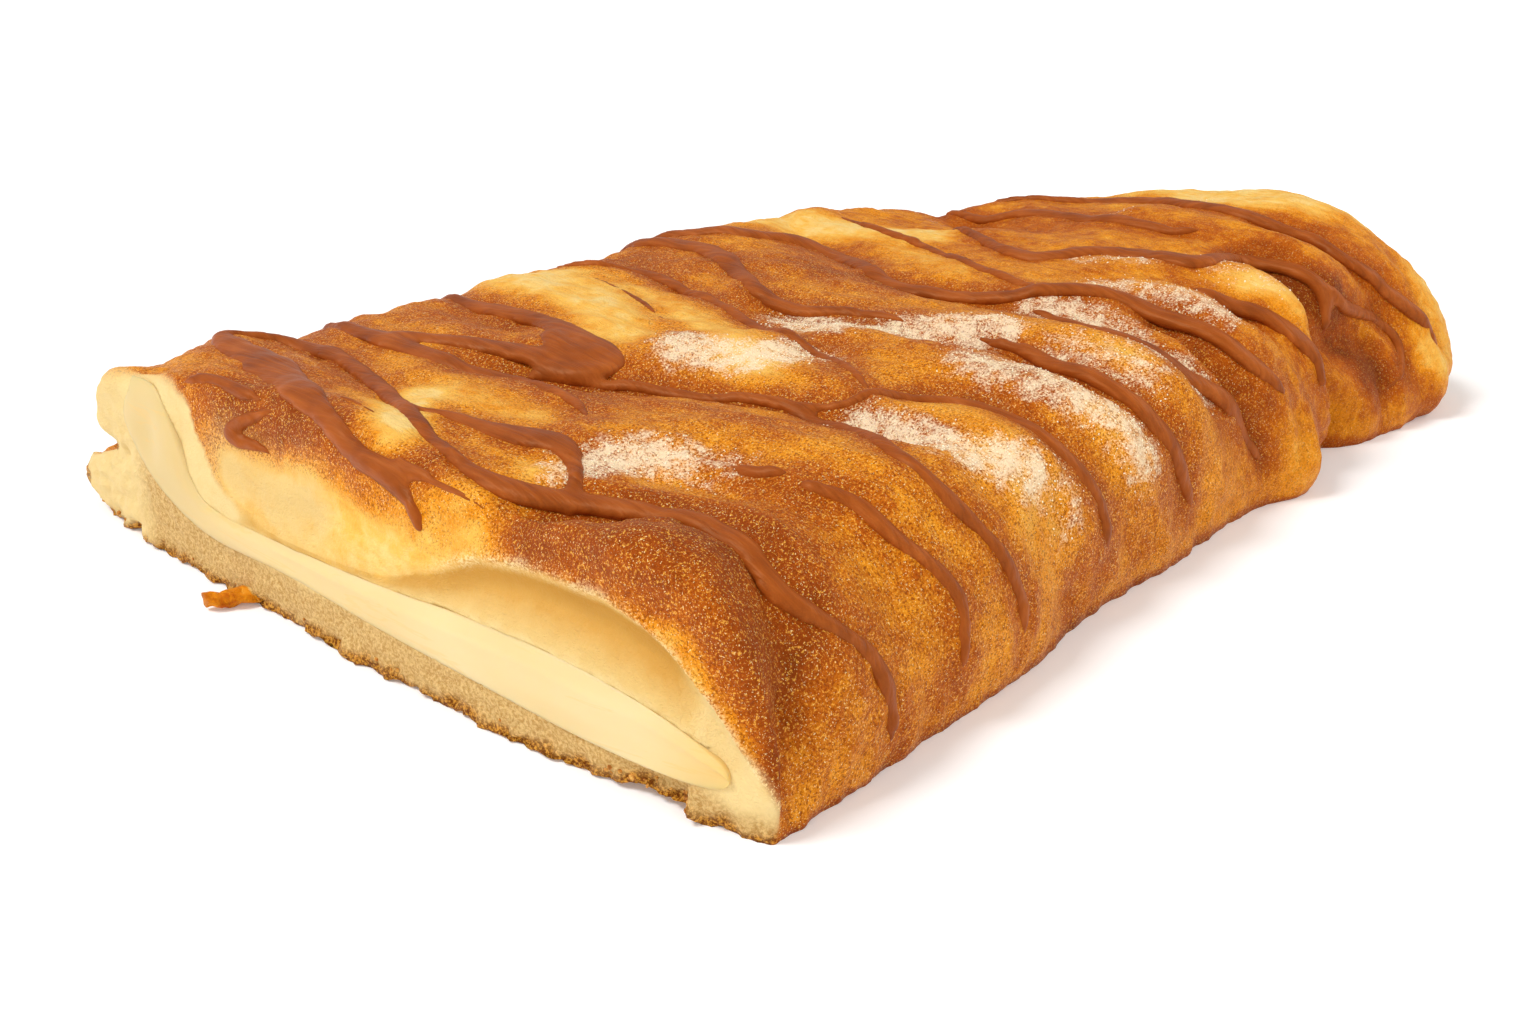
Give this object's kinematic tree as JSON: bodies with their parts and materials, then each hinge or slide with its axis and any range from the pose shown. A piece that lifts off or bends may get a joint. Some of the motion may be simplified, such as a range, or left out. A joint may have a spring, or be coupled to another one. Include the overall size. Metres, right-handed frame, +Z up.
{
  "type": "cheese braid pastry",
  "caption": "Half of a baked cheese braid, cut across at one end to show its filling, drizzled with chocolate icing; lies flat as food or table dressing.",
  "frame": {"origin": "bottom centre of the object's box, on the surface it rests on", "axes": "+X along the braid from the cut end to the baked end, +Y across it towards the back wall, +Z up"},
  "size_m": [0.2188, 0.153, 0.0372],
  "materials": {
    "baked_dough": null,
    "cheese": null,
    "chocolate_icing": "set milk chocolate icing, satin"
  },
  "bodies": {
    "root": {"pastry_dough": "baked_dough", "cheese_filling": "cheese", "icing_line_01": "chocolate_icing", "icing_line_02": "chocolate_icing", "icing_line_03": "chocolate_icing", "icing_line_04": "chocolate_icing", "icing_line_05": "chocolate_icing", "icing_line_06": "chocolate_icing", "icing_line_07": "chocolate_icing", "icing_line_08": "chocolate_icing", "icing_line_09": "chocolate_icing", "icing_line_10": "chocolate_icing", "icing_line_11": "chocolate_icing", "icing_line_12": "chocolate_icing", "icing_line_13": "chocolate_icing", "icing_line_14": "chocolate_icing", "icing_line_15": "chocolate_icing", "icing_line_16": "chocolate_icing", "icing_line_17": "chocolate_icing", "icing_line_18": "chocolate_icing", "icing_line_19": "chocolate_icing"}
  },
  "joints": []
}
